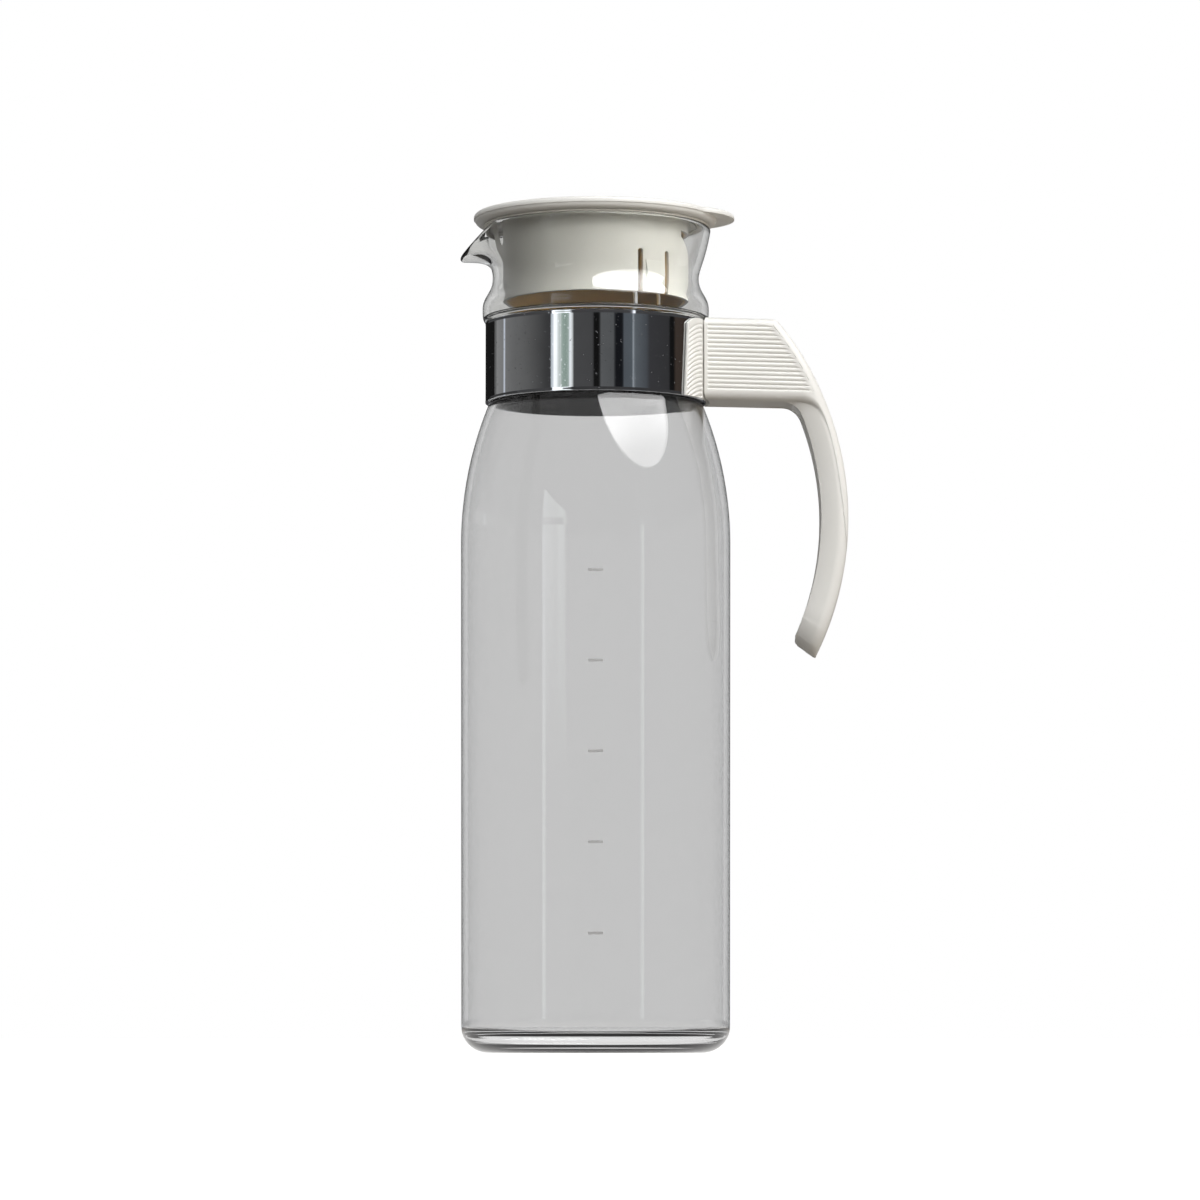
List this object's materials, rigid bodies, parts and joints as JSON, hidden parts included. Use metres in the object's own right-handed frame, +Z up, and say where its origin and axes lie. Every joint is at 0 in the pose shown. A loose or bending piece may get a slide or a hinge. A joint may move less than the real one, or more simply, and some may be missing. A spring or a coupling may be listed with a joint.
{
  "type": "fridge jug",
  "caption": "Tall clear glass fridge jug with a pouring lip, a polished neck band that carries an open curved handle, and a stoppered lid that turns and lifts off.",
  "frame": {"origin": "centre of the flat base, on the surface that the jug stands on", "axes": "+Z up along the jug's axis, +X towards the handle, -X towards the pouring lip"},
  "size_m": [0.1337, 0.0928, 0.2898],
  "materials": {
    "clear_glass": "clear, fire-polished rim",
    "polished_steel": "mirror-polished stainless steel",
    "zinc_steel": "zinc plated",
    "liner_rubber": "soft, dark grey, satin",
    "seat_rubber": "soft, satin",
    "white_plastic": "warm white, satin moulding"
  },
  "bodies": {
    "jug": {"glass_body": "clear_glass", "band_liner": "liner_rubber", "neck_band": "polished_steel", "clamp_screw": "zinc_steel", "clamp_washer": "zinc_steel", "clamp_nut": "zinc_steel", "handle_saddle": "white_plastic", "handle_shell": "white_plastic", "handle_inner_cover": "white_plastic"},
    "lid_seat": {"lid_seat_ring": "seat_rubber"},
    "lid": {"lid_plate": "white_plastic", "lid_stopper": "white_plastic"}
  },
  "joints": [
    {"name": "lid_lift", "type": "slide", "parent": "jug", "child": "lid_seat", "axis": [0, 0, 1], "range_m": [0, 0.04]},
    {"name": "lid_turn", "type": "hinge", "parent": "lid_seat", "child": "lid", "pos_m": [0, 0, 0.286], "axis": [0, 0, 1], "continuous": true}
  ]
}
